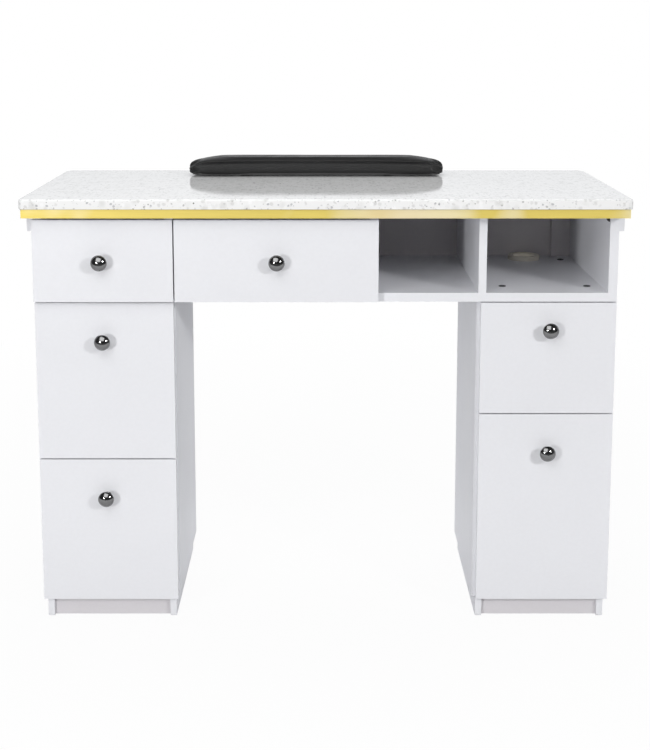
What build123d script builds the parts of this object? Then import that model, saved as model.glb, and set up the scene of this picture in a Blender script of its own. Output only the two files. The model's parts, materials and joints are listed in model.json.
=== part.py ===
from build123d import *
import os

os.makedirs("parts", exist_ok=True)

# Millimetres. +X is to the right, +Y to the rear (client side), +Z up.
# The origin is on the floor, under the middle of the top.

# Overall size
table_width = 1067.0
table_depth = 457.0
table_height = 785.0

# Stone slab
stone_thickness = 18.0
stone_front_corner = 8.0
stone_rear_corner = 20.0
stone_top_arris = 4.0
stone_bottom_arris = 1.0

# Boards
board = 16.0
thin_board = 12.0
partition_thickness = 14.0

# Sub-top and its metal edge strip, set in under the slab
strip_thickness = 1.2
strip_inset_side = 3.5
strip_inset_front = 4.5

# Carcass outline, measured in from the slab's edges
front_overhang = 26.0
rear_overhang = 16.0
side_overhang = 14.5
front_plane = -table_depth / 2 + front_overhang
upper_rear = table_depth / 2 - rear_overhang
carcass_half = table_width / 2 - side_overhang
panel_half = carcass_half - board

# Levels
stone_bottom = table_height - stone_thickness
box_top = stone_bottom - board
shelf_bottom = 595.5
shelf_top = shelf_bottom + board
plinth_height = 34.5
pedestal_floor = plinth_height + board

# Pedestals, each a narrower and shallower box under the upper box
left_inner_face = -269.5
right_inner_face = 271.0
pedestal_rear = 147.5
pedestal_back_inset = 15.0
pedestal_back_front = pedestal_rear - pedestal_back_inset - thin_board

# Upper box. The two upper drawer fronts stand one board in front of its edges;
# the lower fronts are flush with those edges, with the pedestals' boards behind them.
overlay = board
case_front = front_plane + overlay
lower_front_plane = case_front
pedestal_front = lower_front_plane + overlay
divider_left = 77.0
divider_right = divider_left + board
partition_left = 272.0
back_wall = upper_rear - board

# Drawer fronts
front_gap = 2.5
upper_front_reveal = 2.0
top_front_bottom = 598.0
top_front_top = box_top - 6.0
lower_front_top = shelf_bottom - 2.0
front_bottom = plinth_height + 1.0
left_split = 304.2
right_split = 389.1
left_column_split = -268.5
centre_front_right = 93.3
left_front_right = -271.5
right_front_left = 277.4

# Drawer boxes and their slides
side_gap = 12.7
bottom_thickness = 4.0
bottom_lift = 8.0
upper_box_depth = 350.0
lower_box_depth = 280.0
upper_slide = 350.0
lower_slide = 250.0
slide_setback = 3.0
channel_height = 40.0
inner_channel_height = 34.0
channel_depth = 9.0
channel_wall = 1.2

# Knob and its screw
left_knob_x = -397.3
centre_knob_x = -86.0
right_knob_x = 400.0
knob_projection = front_overhang
knob_head_radius = 14.0
knob_foot_radius = 8.5
knob_stem_radius = 5.5
knob_bore_radius = 2.0
knob_bore_depth = 10.0
screw_radius = 1.95
screw_clearance_radius = 2.25
screw_head_radius = 4.2
screw_head_height = 2.4

# Armrest
arm_x = -18.0
arm_y = 146.0
arm_length = 512.0
arm_depth = 78.0
arm_height = 37.0
arm_foot_height = 3.0
arm_base_thickness = 6.0
arm_base_inset = 9.0
arm_foot_spacing = 285.0


def save(part, label):
    """Name a finished piece and write it as one STEP."""
    part.label = label
    export_step(part, f"parts/{label}.step")


def add_board(x, y, z):
    """Add one square-edged board to the open part, from three (low, high) pairs."""
    with BuildSketch(Plane.XY.offset(z[0])) as footprint:
        with Locations(((x[0] + x[1]) / 2, (y[0] + y[1]) / 2)):
            Rectangle(x[1] - x[0], y[1] - y[0])
    extrude(footprint.sketch, amount=z[1] - z[0])


def one_board(x, y, z):
    """One square-edged board as a solid of its own."""
    with BuildPart() as piece:
        add_board(x, y, z)
    return piece.part.solid()


def save_board(label, x, y, z):
    """Write a piece that is one square-edged board."""
    save(Part() + one_board(x, y, z), label)


def mirrored(low, high):
    """The same stretch of x on the other side of the table."""
    return (-high, -low)


# ---------------------------------------------------------------- top

strip_half = table_width / 2 - strip_inset_side
strip_front = -table_depth / 2 + strip_inset_front

with BuildPart() as stone_top:
    with BuildSketch(Plane.XY.offset(stone_bottom)) as outline:
        Rectangle(table_width, table_depth)
        fillet(outline.vertices().group_by(Axis.Y)[0], radius=stone_front_corner)
        fillet(outline.vertices().group_by(Axis.Y)[-1], radius=stone_rear_corner)
    extrude(amount=stone_thickness)
    fillet(stone_top.faces().sort_by(Axis.Z)[-1].edges(), radius=stone_top_arris)
    chamfer(stone_top.faces().sort_by(Axis.Z)[0].edges(), length=stone_bottom_arris)
save(stone_top.part, "stone_top")

sub_half = strip_half - strip_thickness
sub_front = strip_front + strip_thickness
save_board("sub_top", (-sub_half, sub_half), (sub_front, -sub_front), (box_top, stone_bottom))
save_board("front_edge_strip", (-strip_half, strip_half), (strip_front, sub_front), (box_top, stone_bottom))
save_board("rear_edge_strip", (-strip_half, strip_half), (-sub_front, -strip_front), (box_top, stone_bottom))

with BuildPart() as side_edge_strips:
    for span in ((sub_half, strip_half), mirrored(sub_half, strip_half)):
        add_board(span, (sub_front, -sub_front), (box_top, stone_bottom))
save(side_edge_strips.part, "side_edge_strips")

# ---------------------------------------------------------------- upper box

batten_thickness = 9.0
batten_height = 28.0
batten_z = (box_top - batten_height, box_top)

with BuildPart() as side_battens:
    batten_x = (carcass_half, carcass_half + batten_thickness)
    for span in (batten_x, mirrored(*batten_x)):
        add_board(span, (case_front, upper_rear), batten_z)
save(side_battens.part, "side_battens")

upper_z = (shelf_bottom, box_top)
above_shelf = (shelf_top, box_top)
shelf_z = (shelf_bottom, shelf_top)
partition_right = partition_left + partition_thickness
left_divider_x = (left_inner_face - board, left_inner_face)

save_board("upper_left_side_panel", (-carcass_half, -panel_half), (case_front, upper_rear), upper_z)
save_board("upper_right_side_panel", (panel_half, carcass_half), (case_front, upper_rear), upper_z)
save_board("upper_back_panel", (-panel_half, panel_half), (back_wall, upper_rear), upper_z)
save_board("drawer_shelf", (-panel_half, divider_left), (case_front, back_wall), shelf_z)
save_board("left_divider", left_divider_x, (case_front, back_wall), above_shelf)
save_board("centre_divider", (divider_left, divider_right), (case_front, back_wall), upper_z)
save_board("cubby_partition", (partition_left, partition_right), (case_front, back_wall), above_shelf)

# The cubby shelf has a hole for the cable grommet near its rear edge.
grommet_x = 404.0
grommet_y = 158.0
grommet_flange_radius = 32.0
grommet_flange_height = 9.0
grommet_sleeve_radius = 24.0
grommet_inner_radius = 21.0
grommet_hole_radius = grommet_sleeve_radius + 0.5

with BuildPart() as cubby_shelf:
    add_board((divider_right, panel_half), (case_front, back_wall), shelf_z)
    with Locations((grommet_x, grommet_y, shelf_top)):
        Hole(radius=grommet_hole_radius)
save(cubby_shelf.part, "cubby_shelf")

with BuildPart() as cable_grommet:
    with BuildSketch(Plane.XY.offset(shelf_bottom)):
        with Locations((grommet_x, grommet_y)):
            Circle(grommet_sleeve_radius)
            Circle(grommet_inner_radius, mode=Mode.SUBTRACT)
    extrude(amount=board)
    with BuildSketch(Plane.XY.offset(shelf_top)):
        with Locations((grommet_x, grommet_y)):
            Circle(grommet_flange_radius)
            Circle(grommet_inner_radius, mode=Mode.SUBTRACT)
    extrude(amount=grommet_flange_height)
    rim = cable_grommet.faces().sort_by(Axis.Z)[-1]
    fillet(rim.edges(), radius=3.0)
save(cable_grommet.part, "cable_grommet")

# Covers over the cam fittings that pull the shelf to the partition and side panel.
cover_radius = 6.5
cover_height = 1.2
cover_x = (322.5, 477.0)
cover_y = (-125.5, 147.0)

with BuildPart() as cam_lock_covers:
    for x in cover_x:
        for y in cover_y:
            with BuildSketch(Plane.XY.offset(shelf_top)):
                with Locations((x, y)):
                    Circle(cover_radius)
            extrude(amount=cover_height)
    chamfer(cam_lock_covers.faces().group_by(Axis.Z)[-1].edges(), length=0.5)
save(cam_lock_covers.part, "cam_lock_covers")

# A cleat stands in the rear right corner of the box, held by four screws.
cleat_width = 38.0
cleat_thickness = 10.0
cleat_left = panel_half - cleat_width
cleat_front = back_wall - cleat_thickness
cleat_screw_spacing = (21.0, 16.0)
cleat_screw_z = 716.0
cleat_screw_head = 3.2

save_board("rear_corner_cleat", (cleat_left, panel_half), (cleat_front, back_wall), above_shelf)

with BuildPart() as cleat_screws:
    head_plane = Plane(origin=(cleat_left + cleat_width / 2, cleat_front, cleat_screw_z), z_dir=(0, -1, 0))
    with BuildSketch(head_plane):
        with GridLocations(cleat_screw_spacing[0], cleat_screw_spacing[1], 2, 2):
            Circle(cleat_screw_head)
    extrude(amount=1.6)
    chamfer(cleat_screws.faces().group_by(Axis.Y)[0].edges(), length=0.7)
save(cleat_screws.part, "cleat_screws")

# Wedge blocks fix the sub-top to the side panels.
block_width = 6.0
block_height = 12.0
block_length = 16.0
block_rear_y = 150.0

with BuildPart() as top_fixing_blocks:
    for side in (-1, 1):
        for y in (case_front + 4.0, block_rear_y):
            with BuildSketch(Plane.XZ.offset(-y)):
                wall = side * panel_half
                with BuildLine():
                    Polyline(
                        (wall, box_top),
                        (wall - side * block_width, box_top),
                        (wall - side * 2.0, box_top - block_height),
                        (wall, box_top - block_height),
                        close=True,
                    )
                make_face()
            extrude(amount=-block_length)
save(top_fixing_blocks.part, "top_fixing_blocks")

# ---------------------------------------------------------------- pedestals

below_shelf = (plinth_height, shelf_bottom)
bottom_z = (plinth_height, pedestal_floor)
back_z = (pedestal_floor, shelf_bottom)


def save_pedestal(side, outer_x, inner_x):
    """Write the four boards of one pedestal."""
    side_y = (pedestal_front, pedestal_rear)
    between = (min(outer_x[1], inner_x[1]), max(outer_x[0], inner_x[0]))
    back_y = (pedestal_back_front, pedestal_back_front + thin_board)
    save_board(f"{side}_pedestal_outer_panel", outer_x, side_y, below_shelf)
    save_board(f"{side}_pedestal_inner_panel", inner_x, side_y, below_shelf)
    save_board(f"{side}_pedestal_bottom", between, (pedestal_front, back_y[1]), bottom_z)
    save_board(f"{side}_pedestal_back", between, back_y, back_z)


left_outer_x = (-carcass_half, -panel_half)
left_inner_x = (left_inner_face - board, left_inner_face)
right_inner_x = (right_inner_face, right_inner_face + board)
right_outer_x = (panel_half, carcass_half)
save_pedestal("left", left_outer_x, left_inner_x)
save_pedestal("right", right_outer_x, right_inner_x)

# Each pedestal stands on two runners, with a kick board between them.
runner_thickness = 11.5
runner_inset = 6.0
runner_setback = 6.0
runner_rear = 137.0
runner_foot_radius = 3.0
kick_setback = 13.0
kick_lift = 1.0


def runner_spans(x_low, x_high):
    """The stretches of x of the two runners under a pedestal."""
    return (
        (x_low + runner_inset, x_low + runner_inset + runner_thickness),
        (x_high - runner_inset - runner_thickness, x_high - runner_inset),
    )


pedestals = ((-carcass_half, left_inner_face), (right_inner_face, carcass_half))
runner_front = lower_front_plane + runner_setback
kick_front = lower_front_plane + kick_setback

with BuildPart() as plinth_runners:
    for x_low, x_high in pedestals:
        for span in runner_spans(x_low, x_high):
            add_board(span, (runner_front, runner_rear), (0, plinth_height))
    toes = plinth_runners.edges().filter_by(Axis.X).group_by(Axis.Z)[0]
    fillet(toes.group_by(Axis.Y)[0], radius=runner_foot_radius)
save(plinth_runners.part, "plinth_runners")

with BuildPart() as kick_boards:
    for x_low, x_high in pedestals:
        outer, inner = runner_spans(x_low, x_high)
        kick_y = (kick_front, kick_front + thin_board)
        add_board((outer[1], inner[0]), kick_y, (kick_lift, plinth_height))
save(kick_boards.part, "kick_boards")

# ---------------------------------------------------------------- armrest

arm_base_z = table_height + arm_foot_height
arm_cushion_z = arm_base_z + arm_base_thickness
arm_top_z = table_height + arm_height

with BuildPart() as armrest_feet:
    with BuildSketch(Plane.XY.offset(table_height)):
        with Locations((arm_x, arm_y)):
            with GridLocations(arm_foot_spacing, 0, 2, 1):
                Circle(9.0)
    extrude(amount=arm_foot_height)
save(armrest_feet.part, "armrest_feet")

with BuildPart() as armrest_base:
    with BuildSketch(Plane.XY.offset(arm_base_z)):
        with Locations((arm_x, arm_y)):
            RectangleRounded(arm_length - 2 * arm_base_inset, arm_depth - 2 * arm_base_inset, 20.0)
    extrude(amount=arm_base_thickness)
save(armrest_base.part, "armrest_base")

with BuildPart() as armrest_cushion:
    with BuildSketch(Plane.XY.offset(arm_cushion_z)):
        with Locations((arm_x, arm_y)):
            RectangleRounded(arm_length, arm_depth, 30.0)
    extrude(amount=arm_top_z - arm_cushion_z)
    fillet(armrest_cushion.faces().sort_by(Axis.Z)[-1].edges(), radius=14.0)
    fillet(armrest_cushion.faces().sort_by(Axis.Z)[0].edges(), radius=6.0)
save(armrest_cushion.part, "armrest_cushion")

# ---------------------------------------------------------------- drawers


def add_channel(web_x, opens, z, height, y_front, length):
    """Add a folded steel channel along Y: a web at web_x whose two lips point to opens."""
    middle = web_x + opens * channel_depth / 2
    with BuildSketch(Plane.XZ.offset(-y_front)) as section:
        with Locations((middle, z)):
            Rectangle(channel_depth, height)
        with Locations((middle + opens * channel_wall, z)):
            Rectangle(channel_depth, height - 2 * channel_wall, mode=Mode.SUBTRACT)
    extrude(section.sketch, amount=-length)


def save_front(label, x, z, front, knob_x, knob_z):
    """A drawer front with a clearance hole for the knob's screw."""
    with BuildPart() as piece:
        add_board(x, (front, front + overlay), z)
        with Locations(Plane(origin=(knob_x, front, knob_z), z_dir=(0, -1, 0))):
            Hole(radius=screw_clearance_radius, depth=overlay)
    save(piece.part, label)


def save_box(label, x, z, y, screw_x, screw_z):
    """Five boards: a front with a screw hole, two sides, a back and a thin bottom between them."""
    inner_x = (x[0] + thin_board, x[1] - thin_board)
    inner_y = (y[0] + thin_board, y[1] - thin_board)
    bottom = (z[0] + bottom_lift, z[0] + bottom_lift + bottom_thickness)
    with BuildPart() as box_front:
        add_board(inner_x, (y[0], inner_y[0]), z)
        with Locations(Plane(origin=(screw_x, y[0], screw_z), z_dir=(0, -1, 0))):
            Hole(radius=screw_clearance_radius, depth=thin_board)
    boards = [
        box_front.part.solid(),
        one_board((x[0], inner_x[0]), y, z),
        one_board((inner_x[1], x[1]), y, z),
        one_board(inner_x, (inner_y[1], y[1]), z),
        one_board(inner_x, inner_y, bottom),
    ]
    save(Compound(children=boards), label)


def save_knob(label, x, z, front):
    """A mushroom knob and the screw that holds it from inside the drawer."""
    neck = 6.5
    shoulder = 11.0
    brim = 16.5
    edge = 19.0
    rise = knob_projection - edge
    dome_radius = (knob_head_radius ** 2 + rise ** 2) / (2 * rise)
    axis_plane = Plane(origin=(x, front, z), x_dir=(1, 0, 0), z_dir=(0, 0, -1))
    with BuildPart() as knob:
        with BuildSketch(axis_plane):
            with BuildLine():
                Polyline(
                    (0, knob_bore_depth),
                    (knob_bore_radius, knob_bore_depth),
                    (knob_bore_radius, 0),
                    (knob_foot_radius, 0),
                    (knob_foot_radius, 1.5),
                )
                ThreePointArc((knob_foot_radius, 1.5), (6.2, 3.4), (knob_stem_radius, neck))
                Line((knob_stem_radius, neck), (knob_stem_radius, shoulder))
                ThreePointArc((knob_stem_radius, shoulder), (8.2, 14.8), (knob_head_radius - 0.6, brim))
                ThreePointArc(
                    (knob_head_radius - 0.6, brim),
                    (knob_head_radius + 0.3, (brim + edge) / 2),
                    (knob_head_radius, edge),
                )
                RadiusArc((knob_head_radius, edge), (0, knob_projection), -dome_radius)
                Line((0, knob_projection), (0, knob_bore_depth))
            make_face()
        revolve(axis=Axis((x, front, z), (0, -1, 0)))
    inside = front + overlay + thin_board
    with BuildPart() as screw:
        with BuildSketch(Plane(origin=(x, inside, z), z_dir=(0, -1, 0))):
            Circle(screw_radius)
        extrude(amount=overlay + thin_board + knob_bore_depth - 1.0)
        with BuildSketch(Plane(origin=(x, inside, z), z_dir=(0, 1, 0))):
            Circle(screw_head_radius)
        extrude(amount=screw_head_height)
        fillet(screw.faces().sort_by(Axis.Y)[-1].edges(), radius=1.2)
    save(Compound(children=[knob.part.solid(), screw.part.solid()]), label)


def save_drawer(name, bay_x, front_x, front_z, box_z, knob_at, front, box_depth, slide_length):
    """Write the front, box, knob and moving slide members of one drawer."""
    box_x = (bay_x[0] + side_gap, bay_x[1] - side_gap)
    box_y = (front + overlay, front + overlay + box_depth)
    slide_z = (box_z[0] + box_z[1]) / 2
    slide_y = front + overlay + slide_setback
    save_front(f"{name}_drawer_front", front_x, front_z, front, *knob_at)
    save_box(f"{name}_drawer_box", box_x, box_z, box_y, *knob_at)
    save_knob(f"{name}_drawer_knob", *knob_at, front)
    with BuildPart() as members:
        add_channel(box_x[0], -1, slide_z, inner_channel_height, slide_y, slide_length)
        add_channel(box_x[1], 1, slide_z, inner_channel_height, slide_y, slide_length)
    save(members.part, f"{name}_drawer_slides")


left_bay = (-panel_half, left_inner_face - board)
centre_bay = (left_inner_face, divider_left)
right_bay = (right_inner_face + board, panel_half)
half_gap = front_gap / 2
top_left_front_x = (-carcass_half + upper_front_reveal, left_column_split - half_gap)
centre_front_x = (left_column_split + half_gap, centre_front_right)
left_front_x = (-carcass_half, left_front_right)
right_front_x = (right_front_left, carcass_half)
top_front_z = (top_front_bottom, top_front_top)
top_box_z = (626.0, 718.0)
top_knob_z = 671.0
upper_size = (upper_box_depth, upper_slide)
lower_size = (lower_box_depth, lower_slide)

# name: bay, front across, front height, box height, knob centre, front face, depth and slide
drawers = {
    "top_left": (
        left_bay, top_left_front_x, top_front_z, top_box_z,
        (left_knob_x, top_knob_z), front_plane, *upper_size,
    ),
    "centre": (
        centre_bay, centre_front_x, top_front_z, top_box_z,
        (centre_knob_x, top_knob_z), front_plane, *upper_size,
    ),
    "middle_left": (
        left_bay, left_front_x, (left_split + half_gap, lower_front_top),
        (340.0, 550.0), (left_knob_x, 524.7), lower_front_plane, *lower_size,
    ),
    "bottom_left": (
        left_bay, left_front_x, (front_bottom, left_split - half_gap),
        (74.0, 260.0), (left_knob_x, 233.9), lower_front_plane, *lower_size,
    ),
    "upper_right": (
        right_bay, right_front_x, (right_split + half_gap, lower_front_top),
        (420.0, 570.0), (right_knob_x, 545.7), lower_front_plane, *lower_size,
    ),
    "lower_right": (
        right_bay, right_front_x, (front_bottom, right_split - half_gap),
        (74.0, 340.0), (right_knob_x, 319.4), lower_front_plane, *lower_size,
    ),
}

for name, values in drawers.items():
    save_drawer(name, *values)

# The fixed slide members, grouped by the case that they are screwed to.
slide_groups = {
    "upper_cabinet_slides": ("top_left", "centre"),
    "left_cabinet_slides": ("middle_left", "bottom_left"),
    "right_cabinet_slides": ("upper_right", "lower_right"),
}

for label, names in slide_groups.items():
    with BuildPart() as group:
        for name in names:
            bay_x, _, _, box_z, _, front, _, slide_length = drawers[name]
            slide_z = (box_z[0] + box_z[1]) / 2
            slide_y = front + overlay + slide_setback
            add_channel(bay_x[0], 1, slide_z, channel_height, slide_y, slide_length)
            add_channel(bay_x[1], -1, slide_z, channel_height, slide_y, slide_length)
    save(group.part, label)
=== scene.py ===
import json
import math

import bmesh
import bpy
import numpy as np
from mathutils import Euler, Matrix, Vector
from mathutils import noise as perlin


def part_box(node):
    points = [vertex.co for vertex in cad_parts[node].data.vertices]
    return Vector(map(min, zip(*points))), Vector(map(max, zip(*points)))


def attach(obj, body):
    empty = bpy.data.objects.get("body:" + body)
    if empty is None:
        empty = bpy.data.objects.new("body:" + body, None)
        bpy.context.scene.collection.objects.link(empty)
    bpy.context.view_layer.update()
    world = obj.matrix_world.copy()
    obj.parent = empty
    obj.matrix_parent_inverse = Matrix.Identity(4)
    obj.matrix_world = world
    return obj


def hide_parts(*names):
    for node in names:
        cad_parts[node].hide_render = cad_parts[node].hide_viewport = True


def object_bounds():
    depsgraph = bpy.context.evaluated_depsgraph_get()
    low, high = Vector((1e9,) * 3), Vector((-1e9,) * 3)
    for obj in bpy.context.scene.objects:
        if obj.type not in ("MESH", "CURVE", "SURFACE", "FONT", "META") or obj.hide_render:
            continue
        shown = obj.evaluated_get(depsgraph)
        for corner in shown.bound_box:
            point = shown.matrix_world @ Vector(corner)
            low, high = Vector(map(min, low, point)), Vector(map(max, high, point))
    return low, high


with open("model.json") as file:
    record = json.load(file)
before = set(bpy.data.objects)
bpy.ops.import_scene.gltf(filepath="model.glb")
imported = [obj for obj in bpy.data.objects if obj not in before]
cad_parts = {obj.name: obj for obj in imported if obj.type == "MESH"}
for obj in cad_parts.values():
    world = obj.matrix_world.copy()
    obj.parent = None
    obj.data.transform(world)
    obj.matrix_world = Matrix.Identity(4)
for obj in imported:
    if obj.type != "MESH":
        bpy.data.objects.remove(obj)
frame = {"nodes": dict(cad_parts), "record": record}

cad_low, cad_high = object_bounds()
nodes = frame["nodes"]
mm = 0.001

# ---------------------------------------------------------------- node helpers


class Shader:
    """A node material under construction, with short calls for the nodes it uses most."""

    def __init__(self, name, **values):
        self.material = bpy.data.materials.new(name)
        self.material.use_nodes = True
        self.tree = self.material.node_tree
        self.surface = self.tree.nodes["Principled BSDF"]
        self.place = self.add("ShaderNodeTexCoord").outputs["Object"]
        for socket, value in values.items():
            self.surface.inputs[socket.replace("_", " ")].default_value = value

    def add(self, kind, **settings):
        node = self.tree.nodes.new(kind)
        for key, value in settings.items():
            setattr(node, key, value)
        return node

    def put(self, socket, value):
        """Set a socket from a number, a colour or another socket."""
        if isinstance(value, bpy.types.NodeSocket):
            self.tree.links.new(value, socket)
        else:
            socket.default_value = value

    def math(self, operation, a, b=0.0, c=0.0, clamp=False):
        node = self.add("ShaderNodeMath", operation=operation, use_clamp=clamp)
        for socket, value in zip(node.inputs, (a, b, c)):
            self.put(socket, value)
        return node.outputs[0]

    def scaled(self, vector, factors):
        node = self.add("ShaderNodeVectorMath", operation="MULTIPLY")
        self.put(node.inputs[0], vector)
        self.put(node.inputs[1], factors)
        return node.outputs[0]

    def noise(self, scale, detail=3.0, vector=None, distortion=0.0):
        node = self.add("ShaderNodeTexNoise")
        self.put(node.inputs["Vector"], vector or self.place)
        self.put(node.inputs["Scale"], scale)
        self.put(node.inputs["Detail"], detail)
        self.put(node.inputs["Distortion"], distortion)
        return node

    def warped(self, scale, amount):
        """The object's coordinates pushed about by noise, for irregular outlines."""
        push = self.add("ShaderNodeVectorMath", operation="MULTIPLY_ADD")
        self.put(push.inputs[0], self.noise(scale).outputs["Color"])
        self.put(push.inputs[1], (amount, amount, amount))
        self.put(push.inputs[2], self.place)
        return push.outputs[0]

    def ranged(self, value, from_low, from_high, to_low, to_high):
        node = self.add("ShaderNodeMapRange")
        for socket, number in zip(node.inputs, (value, from_low, from_high, to_low, to_high)):
            self.put(socket, number)
        return node.outputs["Result"]

    def mix(self, factor, a, b, blend="MIX"):
        node = self.add("ShaderNodeMix", data_type="RGBA", blend_type=blend)
        self.put(node.inputs["Factor"], factor)
        self.put(node.inputs["A"], a)
        self.put(node.inputs["B"], b)
        return node.outputs["Result"]

    def bump(self, height, distance, strength=1.0):
        node = self.add("ShaderNodeBump")
        self.put(node.inputs["Height"], height)
        self.put(node.inputs["Distance"], distance)
        self.put(node.inputs["Strength"], strength)
        self.put(self.surface.inputs["Normal"], node.outputs["Normal"])

    def color(self, value):
        self.put(self.surface.inputs["Base Color"], value)

    def rough(self, value):
        self.put(self.surface.inputs["Roughness"], value)


def grey(value, tint=(1.0, 1.0, 1.0)):
    """A neutral colour with an optional tint, as RGBA."""
    return tuple(value * t for t in tint) + (1.0,)


# ---------------------------------------------------------------- materials


def fleck_mask(shader, vector, cell, share, size, softness):
    """Chips of stone: a share of Voronoi cells of the given size in metres, each filled to a radius."""
    cells = shader.add("ShaderNodeTexVoronoi")
    shader.put(cells.inputs["Vector"], vector)
    shader.put(cells.inputs["Scale"], 1.0 / cell)
    parts = shader.add("ShaderNodeSeparateColor")
    shader.put(parts.inputs["Color"], cells.outputs["Color"])
    chosen = shader.math("LESS_THAN", parts.outputs["Red"], share)
    filled = shader.ranged(cells.outputs["Distance"], size - softness, size + softness, 1.0, 0.0)
    mask = shader.math("MULTIPLY", chosen, filled)
    return mask, parts.outputs["Green"]


def make_quartz():
    """Polished engineered stone: pale ground with soft grey clouds, grey chips and a few dark specks."""
    shader = Shader("quartz", Roughness=0.07, Specular_IOR_Level=0.60)
    cloud = shader.noise(14.0, 4.0).outputs["Fac"]
    base = shader.mix(cloud, grey(0.86, (1.0, 1.0, 0.99)), grey(0.93, (1.0, 1.0, 0.995)))
    warped = shader.warped(180.0, 0.004)
    # cell size, share of cells, fill radius, softness, colour of the chips
    layers = (
        (0.015, 0.32, 0.40, 0.22, grey(0.74, (1.0, 1.0, 0.98))),
        (0.0085, 0.26, 0.38, 0.12, grey(0.64, (1.0, 0.99, 0.97))),
        (0.0100, 0.16, 0.38, 0.08, grey(0.97)),
        (0.0058, 0.20, 0.36, 0.09, grey(0.50, (1.0, 1.0, 1.03))),
        (0.0052, 0.030, 0.36, 0.07, grey(0.32, (1.0, 0.98, 0.95))),
        (0.0028, 0.055, 0.38, 0.08, grey(0.42, (1.0, 0.98, 0.94))),
        (0.0036, 0.010, 0.36, 0.05, grey(0.12)),
    )
    for cell, share, size, softness, color in layers:
        mask, variety = fleck_mask(shader, warped, cell, share, size, softness)
        strength = shader.ranged(variety, 0.0, 1.0, 0.35, 1.0)
        base = shader.mix(shader.math("MULTIPLY", mask, strength), base, color)
    grain = shader.noise(1300.0, 2.0).outputs["Fac"]
    base = shader.mix(0.10, base, shader.mix(grain, grey(0.45), grey(1.0)))
    shader.color(base)
    polish = shader.noise(38.0, 3.0).outputs["Fac"]
    shader.rough(shader.ranged(polish, 0.3, 0.7, 0.05, 0.10))
    return shader.material


def make_board(name, light, dark, roughness):
    """Melamine-faced board: satin white, with a fine pressed texture and faint cloudiness."""
    shader = Shader(name, Roughness=roughness, Specular_IOR_Level=0.45)
    cloud = shader.noise(3.2, 3.0).outputs["Fac"]
    mottle = shader.noise(160.0, 2.0).outputs["Fac"]
    tone = shader.mix(cloud, dark, light)
    mottled = shader.mix(shader.ranged(mottle, 0.35, 0.65, 0.0, 0.06), tone, grey(0.62, (1.0, 1.0, 1.03)))
    # painted shade: the object colour darkens the boards that sit in recesses; it is white on all other
    # pieces
    painted_shade_tint = shader.add("ShaderNodeObjectInfo").outputs["Color"]
    shader.color(shader.mix(1.0, mottled, painted_shade_tint, "MULTIPLY"))
    pores = shader.noise(1500.0, 2.0).outputs["Fac"]
    handling = shader.noise(11.0, 4.0).outputs["Fac"]
    shader.rough(shader.ranged(handling, 0.3, 0.7, roughness - 0.05, roughness + 0.07))
    shader.bump(pores, 0.00006, 0.55)
    return shader.material


def make_gold():
    """Satin gold strip: long horizontal strokes and paler patches."""
    shader = Shader("gold_trim", Metallic=0.22)
    strokes = shader.noise(1.0, 3.0, shader.scaled(shader.place, (14.0, 14.0, 2600.0))).outputs["Fac"]
    patches = shader.noise(6.5, 2.0).outputs["Fac"]
    blush = shader.noise(4.3, 1.0).outputs["Fac"]
    gold = shader.mix(strokes, (0.68, 0.52, 0.10, 1.0), (0.92, 0.75, 0.20, 1.0))
    pale = shader.mix(shader.ranged(patches, 0.48, 0.60, 0.0, 0.9), gold, (0.92, 0.82, 0.50, 1.0))
    shader.color(shader.mix(shader.ranged(blush, 0.60, 0.72, 0.0, 0.4), pale, (0.90, 0.74, 0.55, 1.0)))
    shader.rough(shader.ranged(strokes, 0.3, 0.7, 0.36, 0.50))
    shader.bump(strokes, 0.00005, 0.5)
    return shader.material


def make_chrome():
    shader = Shader("chrome", Metallic=1.0)
    smear = shader.noise(170.0, 3.0).outputs["Fac"]
    shader.color(shader.mix(smear, grey(0.22, (1.0, 1.0, 1.02)), grey(0.30)))
    shader.rough(shader.ranged(smear, 0.4, 0.7, 0.10, 0.20))
    return shader.material


def make_zinc():
    """Zinc-plated steel with a faint spangle and drawing lines along the channel."""
    shader = Shader("zinc_steel", Metallic=1.0)
    spangle = shader.add("ShaderNodeTexVoronoi")
    shader.put(spangle.inputs["Scale"], 260.0)
    shader.put(spangle.inputs["Vector"], shader.place)
    parts = shader.add("ShaderNodeSeparateColor")
    shader.put(parts.inputs["Color"], spangle.outputs["Color"])
    lines = shader.noise(1.0, 2.0, shader.scaled(shader.place, (900.0, 20.0, 900.0))).outputs["Fac"]
    shader.color(shader.mix(parts.outputs["Red"], grey(0.50, (0.98, 1.0, 1.03)), grey(0.64)))
    shader.rough(shader.ranged(lines, 0.3, 0.7, 0.28, 0.42))
    shader.bump(lines, 0.00003, 0.5)
    return shader.material


def make_leatherette():
    """Black vinyl leather: pebbled grain with fine creases and a soft satin highlight."""
    shader = Shader("black_leatherette", Specular_IOR_Level=0.30)
    warped = shader.warped(500.0, 0.0012)
    pebble = shader.add("ShaderNodeTexVoronoi", feature="DISTANCE_TO_EDGE")
    shader.put(pebble.inputs["Vector"], warped)
    shader.put(pebble.inputs["Scale"], 820.0)
    valley = shader.ranged(pebble.outputs["Distance"], 0.0, 0.16, 0.0, 1.0)
    worn = shader.noise(26.0, 4.0).outputs["Fac"]
    body = shader.mix(worn, grey(0.013, (1.0, 1.0, 1.05)), grey(0.020, (1.0, 1.0, 1.02)))
    # painted shade: the hollows of the pebble grain are painted darker than the tops
    shader.color(shader.mix(valley, grey(0.008), body))
    shader.rough(shader.ranged(worn, 0.3, 0.7, 0.36, 0.50))
    creases = shader.noise(120.0, 5.0, distortion=0.8).outputs["Fac"]
    height = shader.math("ADD", shader.math("MULTIPLY", valley, 0.6), creases)
    shader.bump(height, 0.00022, 0.6)
    return shader.material


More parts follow.
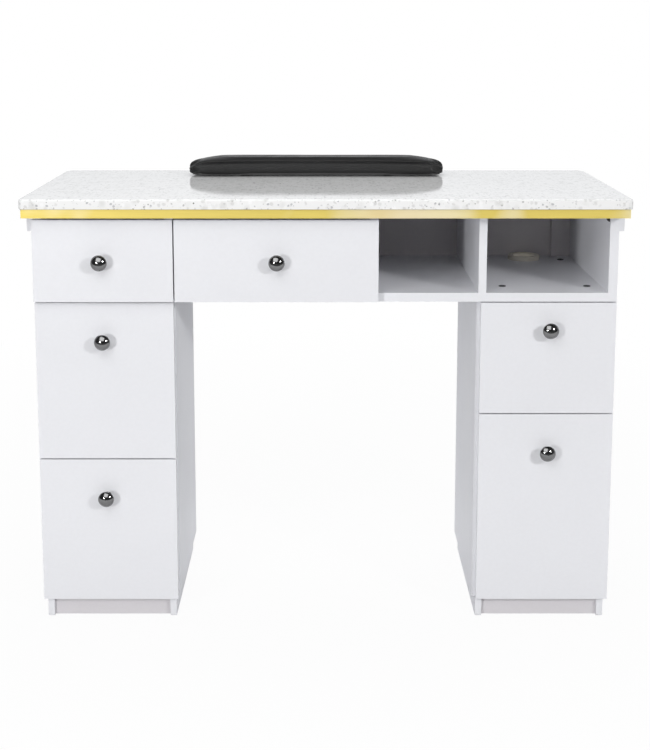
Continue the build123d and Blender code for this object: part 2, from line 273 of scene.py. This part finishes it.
def make_plastic(name, light, dark, roughness, grain):
    """Moulded plastic with a fine spark-eroded texture."""
    shader = Shader(name)
    tone = shader.noise(60.0, 3.0).outputs["Fac"]
    shader.color(shader.mix(tone, dark, light))
    texture = shader.noise(grain, 2.0).outputs["Fac"]
    shader.rough(shader.ranged(tone, 0.3, 0.7, roughness - 0.05, roughness + 0.06))
    shader.bump(texture, 0.00006, 0.5)
    return shader.material


cool_white = (0.98, 0.985, 1.02)

materials = {
    "quartz": make_quartz(),
    "white_board": make_board("white_board", grey(0.83, cool_white), grey(0.80, cool_white), 0.36),
    "drawer_board": make_board("drawer_board", grey(0.74), grey(0.69), 0.52),
    "gold_trim": make_gold(),
    "chrome": make_chrome(),
    "zinc_steel": make_zinc(),
    "black_leatherette": make_leatherette(),
    "black_plastic": make_plastic("black_plastic", grey(0.035), grey(0.022), 0.45, 1400.0),
    "black_rubber": make_plastic("black_rubber", grey(0.030), grey(0.020), 0.75, 900.0),
    "cream_plastic": make_plastic(
        "cream_plastic", grey(0.78, (1.0, 0.95, 0.82)), grey(0.72, (1.0, 0.94, 0.80)), 0.40, 1300.0
    ),
}

# painted shade: the kick boards, the back panel and the corner cleat, which sit in recesses, are painted
# darker and warmer than the fronts
painted_recess_shade = {
    "kick_boards": (0.84, 0.81, 0.81, 1.0),
    "upper_back_panel": (0.84, 0.80, 0.78, 1.0),
    "rear_corner_cleat": (0.84, 0.80, 0.78, 1.0),
}

slot_of = {part["node"]: part["material_slot"] for part in frame["record"]["subparts"]}
for name, node in nodes.items():
    node.data.materials.clear()
    node.data.materials.append(materials[slot_of[name]])
    node.color = painted_recess_shade.get(name, grey(1.0))

# ---------------------------------------------------------------- finer edges on the CAD pieces

edge_radius = {"white_board": 0.7 * mm, "drawer_board": 0.5 * mm, "gold_trim": 0.35 * mm}
edge_angle = math.radians(50)

for name, node in nodes.items():
    radius = edge_radius.get(slot_of[name])
    if radius:
        bevel = node.modifiers.new("eased_edges", "BEVEL")
        bevel.width = radius
        bevel.segments = 2
        bevel.limit_method = "ANGLE"
        bevel.angle_limit = edge_angle
        bevel.harden_normals = False

# ---------------------------------------------------------------- armrest cushion

pad_low, pad_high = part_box("armrest_cushion")
base_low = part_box("armrest_base")[0]
pad_middle = (pad_low + pad_high) / 2
pad_half_length = (pad_high.x - pad_low.x) / 2
pad_half_depth = (pad_high.y - pad_low.y) / 2
pad_bottom = base_low.z + 0.6 * mm
pad_top = pad_high.z
pad_height = pad_top - pad_bottom
end_taper = 62 * mm
section_count = 120
ring_count = 72
swell_room = 1.6 * mm
lengthwise_crown = 0.07
tip_height = 0.34
tip_depth = 0.30
tip_lift = 0.10


def end_shape(x):
    """How far along the rounded end x is: 0 on the straight stretch, 1 at the tip."""
    return max(0.0, (abs(x) - (pad_half_length - end_taper)) / end_taper)


def pad_section(x):
    """Half depth, bottom and top of the pad at x, tapering to a blunt rounded tip."""
    t = end_shape(x)
    top_round = math.sqrt(max(0.0, 1.0 - t ** 2.6))
    side_round = math.sqrt(max(0.0, 1.0 - t ** 3.6))
    crown = 1.0 - lengthwise_crown * (x / pad_half_length) ** 2
    rise = pad_height * crown * (tip_height + (1.0 - tip_height) * top_round)
    depth = pad_half_depth * (tip_depth + (1.0 - tip_depth) * side_round)
    lift = pad_height * tip_lift * t ** 3
    return depth - swell_room, pad_bottom + lift, pad_bottom + lift * 0.3 + rise - swell_room


def section_point(angle, half_depth, bottom, top):
    """A point of a squarish oval section; the top is crowned and the underside flat."""
    power = 0.46
    c, s = math.cos(angle), math.sin(angle)
    y = half_depth * math.copysign(abs(c) ** power, c)
    middle = bottom + (top - bottom) * 0.42
    if s >= 0:
        z = middle + (top - middle) * abs(s) ** (power + 0.10)
    else:
        z = middle - (middle - bottom) * abs(s) ** (power - 0.12)
    return y, z


def build_pad_shell():
    """The closed shell of the pad as rings of points along its length, capped at both tips."""
    mesh = bpy.data.meshes.new("armrest_pad")
    shell = bmesh.new()
    rings = []
    for i in range(section_count + 1):
        u = -math.cos(math.pi * i / section_count)
        x = pad_half_length * (0.55 * u + 0.45 * (2.0 * i / section_count - 1.0))
        x = max(-pad_half_length + swell_room, min(pad_half_length - swell_room, x))
        half_depth, bottom, top = pad_section(x)
        ring = []
        for j in range(ring_count):
            y, z = section_point(2.0 * math.pi * j / ring_count, half_depth, bottom, top)
            ring.append(shell.verts.new((pad_middle.x + x, pad_middle.y + y, z)))
        rings.append(ring)
    for first, second in zip(rings, rings[1:]):
        for j in range(ring_count):
            k = (j + 1) % ring_count
            shell.faces.new((first[j], second[j], second[k], first[k]))
    shell.faces.new(list(rings[0]))
    shell.faces.new(list(reversed(rings[-1])))
    bmesh.ops.recalc_face_normals(shell, faces=shell.faces)
    shell.to_mesh(mesh)
    shell.free()
    pad = bpy.data.objects.new("armrest_pad", mesh)
    bpy.context.scene.collection.objects.link(pad)
    return pad


def apply_modifiers(piece):
    """Bake a piece's modifiers into its mesh."""
    graph = bpy.context.evaluated_depsgraph_get()
    mesh = bpy.data.meshes.new_from_object(piece.evaluated_get(graph))
    piece.modifiers.clear()
    piece.data = mesh


def stuff(piece, voxel, pressure, cap, frames=20):
    """Swell a closed piece like a stuffed cover, with no point moving further than cap."""
    remesh = piece.modifiers.new("remesh", "REMESH")
    remesh.mode = "VOXEL"
    remesh.voxel_size = voxel
    apply_modifiers(piece)
    start = np.array([v.co[:] for v in piece.data.vertices])
    cloth = piece.modifiers.new("cloth", "CLOTH")
    cloth.settings.use_pressure = True
    cloth.settings.uniform_pressure_force = pressure
    cloth.settings.effector_weights.gravity = 0.0
    cloth.settings.tension_stiffness = 30.0
    cloth.settings.compression_stiffness = 30.0
    cloth.settings.shear_stiffness = 10.0
    cloth.settings.bending_stiffness = 2.0
    cloth.point_cache.frame_start = 1
    cloth.point_cache.frame_end = frames
    scene = bpy.context.scene
    for step in range(1, frames + 1):
        scene.frame_set(step)
    apply_modifiers(piece)
    moved = np.array([v.co[:] for v in piece.data.vertices]) - start
    length = np.maximum(np.linalg.norm(moved, axis=1, keepdims=True), 1e-9)
    end = start + moved * np.minimum(1.0, cap / length)
    for vertex, place in zip(piece.data.vertices, end):
        vertex.co = place
    scene.frame_set(1)


def smooth_step(low, high, value):
    t = max(0.0, min(1.0, (value - low) / (high - low)))
    return t * t * (3.0 - 2.0 * t)


seam_drop = 5.8 * mm
seam_half_width = 1.7 * mm
seam_depth = 4.2 * mm
pleat_count = 13
pleat_depth = 3.4 * mm


def sew(piece):
    """Press the two long top seams and the gathered pleats at the ends into the pad."""
    for vertex in piece.data.vertices:
        x = vertex.co.x - pad_middle.x
        y = vertex.co.y - pad_middle.y
        half_depth, bottom, top = pad_section(x)
        middle_z = (bottom + top) / 2
        t = end_shape(x)
        outward = Vector((0.0, y / max(half_depth, 1e-6), (vertex.co.z - middle_z) / (pad_height / 2)))
        outward.normalize()
        # the long seams run where the top panel meets the side bands
        wander = 0.5 * mm * perlin.noise(Vector((x * 38.0, 3.1, 0.0)))
        seam_z = top - seam_drop * (1.0 - 0.35 * t) + wander
        near_side = smooth_step(0.55, 0.85, abs(y) / max(half_depth, 1e-6))
        press = math.exp(-((vertex.co.z - seam_z) / seam_half_width) ** 2) * near_side
        vertex.co -= outward * seam_depth * press
        # small puckers on both sides of each seam
        pucker = perlin.noise(Vector((x * 95.0, math.copysign(7.0, y), vertex.co.z * 60.0)))
        spread = math.exp(-((vertex.co.z - seam_z) / (3.2 * seam_half_width)) ** 2) * near_side
        vertex.co += outward * 0.45 * mm * pucker * spread
        # gathers fan out from each tip
        angle = math.atan2(vertex.co.z - middle_z, y)
        fold = math.sin(angle * pleat_count + 2.2 * perlin.noise(Vector((x * 30.0, angle, 1.7))))
        gather = smooth_step(0.50, 0.92, t)
        vertex.co += outward * pleat_depth * gather * (fold - 0.25)
        # long shallow unevenness of the foam
        ripple = perlin.noise(Vector((x * 11.0, y * 14.0, vertex.co.z * 22.0)))
        vertex.co += outward * 0.8 * mm * ripple * (1.0 - gather)
        vertex.co.z = min(max(vertex.co.z, pad_bottom), pad_top + 1.0 * mm)


pad = build_pad_shell()
stuff(pad, 4.5 * mm, 4.0, 5.0 * mm)
finer = pad.modifiers.new("finer", "SUBSURF")
finer.levels = 2
finer.render_levels = 2
apply_modifiers(pad)
sew(pad)
pad.data.materials.clear()
pad.data.materials.append(materials["black_leatherette"])
for face in pad.data.polygons:
    face.use_smooth = True
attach(pad, "cabinet")
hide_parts("armrest_cushion")

# ---------------------------------------------------------------- floor and backdrop

floor_half = 40.0
sheet_front = -1.05
sheet_edge = 0.25
shade_reach = 2.2


def make_floor():
    """A pale sheet under the table; it shades into plain white away from the object."""
    mesh = bpy.data.meshes.new("floor")
    corners = ((-1, -1), (1, -1), (1, 1), (-1, 1))
    mesh.from_pydata([(x * floor_half, y * floor_half, 0.0) for x, y in corners], [], [(0, 1, 2, 3)])
    floor = bpy.data.objects.new("floor", mesh)
    bpy.context.scene.collection.objects.link(floor)
    shader = Shader("floor", Roughness=0.9, Specular_IOR_Level=0.1)
    place = shader.add("ShaderNodeSeparateXYZ")
    shader.put(place.inputs[0], shader.place)
    # the sheet ends in front of the table, so the upper knobs mirror a dim room
    on_sheet = shader.ranged(place.outputs["Y"], sheet_front - sheet_edge, sheet_front, 0.0, 1.0)
    shader.color(shader.mix(on_sheet, grey(0.10), grey(0.76)))
    glow = shader.add("ShaderNodeEmission")
    shader.put(glow.inputs["Color"], grey(1.0))
    shader.put(glow.inputs["Strength"], 1.0)
    across = shader.add("ShaderNodeVectorMath", operation="LENGTH")
    shader.put(across.inputs[0], shader.place)
    whiteness = shader.ranged(across.outputs["Value"], 0.5, shade_reach, 0.95, 1.0)
    path = shader.add("ShaderNodeLightPath")
    blend = shader.add("ShaderNodeMixShader")
    shader.put(blend.inputs["Fac"], shader.math("MULTIPLY", path.outputs["Is Camera Ray"], whiteness))
    shader.put(blend.inputs[1], shader.surface.outputs[0])
    shader.put(blend.inputs[2], glow.outputs[0])
    shader.put(shader.tree.nodes["Material Output"].inputs["Surface"], blend.outputs[0])
    mesh.materials.append(shader.material)


def make_world():
    """White to the camera. For light and reflections, a dim room in front and a bright wall behind."""
    world = bpy.data.worlds.new("studio")
    bpy.context.scene.world = world
    world.use_nodes = True
    tree = world.node_tree
    direction = tree.nodes.new("ShaderNodeTexCoord")
    split = tree.nodes.new("ShaderNodeSeparateXYZ")
    behind = tree.nodes.new("ShaderNodeMapRange")
    behind.interpolation_type = "SMOOTHSTEP"
    for socket, number in zip(behind.inputs[1:], (-0.20, 0.30, room_fill, bright_wall)):
        socket.default_value = number
    # polished pieces mirror a darker room than the one that lights the matt boards
    front = tree.nodes.new("ShaderNodeMix")
    front.inputs["A"].default_value = room_fill
    front.inputs["B"].default_value = dim_room
    room = tree.nodes["Background"]
    room.inputs["Color"].default_value = grey(1.0, (0.97, 0.98, 1.0))
    white = tree.nodes.new("ShaderNodeBackground")
    white.inputs["Color"].default_value = grey(1.0)
    white.inputs["Strength"].default_value = 1.0
    path = tree.nodes.new("ShaderNodeLightPath")
    blend = tree.nodes.new("ShaderNodeMixShader")
    tree.links.new(direction.outputs["Generated"], split.inputs[0])
    tree.links.new(split.outputs["Y"], behind.inputs["Value"])
    tree.links.new(path.outputs["Is Glossy Ray"], front.inputs["Factor"])
    tree.links.new(front.outputs["Result"], behind.inputs["To Min"])
    tree.links.new(behind.outputs["Result"], room.inputs["Strength"])
    tree.links.new(path.outputs["Is Camera Ray"], blend.inputs["Fac"])
    tree.links.new(room.outputs[0], blend.inputs[1])
    tree.links.new(white.outputs[0], blend.inputs[2])
    tree.links.new(blend.outputs[0], tree.nodes["World Output"].inputs["Surface"])


dim_room = 0.05
room_fill = 0.07
bright_wall = 0.85
make_floor()
make_world()

# ---------------------------------------------------------------- lights

target = Vector(((cad_low.x + cad_high.x) / 2, cad_low.y, (cad_low.z + cad_high.z) / 2))


def softbox(name, azimuth, elevation, distance, width, height, power, mirrored=True):
    """A rectangular studio light aimed at the front of the table. Azimuth 0 is straight in front."""
    a, e = math.radians(azimuth), math.radians(elevation)
    towards = Vector((math.sin(a) * math.cos(e), -math.cos(a) * math.cos(e), math.sin(e)))
    light = bpy.data.lights.new(name, "AREA")
    light.shape = "RECTANGLE"
    light.size = width
    light.size_y = height
    light.energy = power
    lamp = bpy.data.objects.new(name, light)
    bpy.context.scene.collection.objects.link(lamp)
    lamp.location = target + towards * distance
    lamp.rotation_euler = towards.to_track_quat("Z", "Y").to_euler()
    lamp.visible_glossy = mirrored


softbox("left_softbox", -33, 8.5, 3.0, 0.30, 0.30, 28)
softbox("right_softbox", 44, 22, 3.2, 0.40, 0.40, 36)
softbox("umbrella", -18, 44, 2.2, 1.9, 1.7, 21)
softbox("overhead_softbox", 180, 70, 2.2, 1.4, 1.0, 11, mirrored=False)

# ---------------------------------------------------------------- camera

picture_width = 650
lens_pixels = 1327.2
camera = bpy.data.objects.new("camera", bpy.data.cameras.new("camera"))
bpy.context.scene.collection.objects.link(camera)
camera.data.sensor_fit = "HORIZONTAL"
camera.data.sensor_width = 36.0
camera.data.lens = lens_pixels / picture_width * camera.data.sensor_width
camera.data.shift_x = 0.0051
camera.data.shift_y = -0.2308
camera.location = (-0.0070, -2.5036, 1.0889)
camera.rotation_euler = Euler((math.radians(90 - 8.713), 0.0, 0.0))
bpy.context.scene.camera = camera
bpy.context.scene.view_settings.view_transform = "Standard"
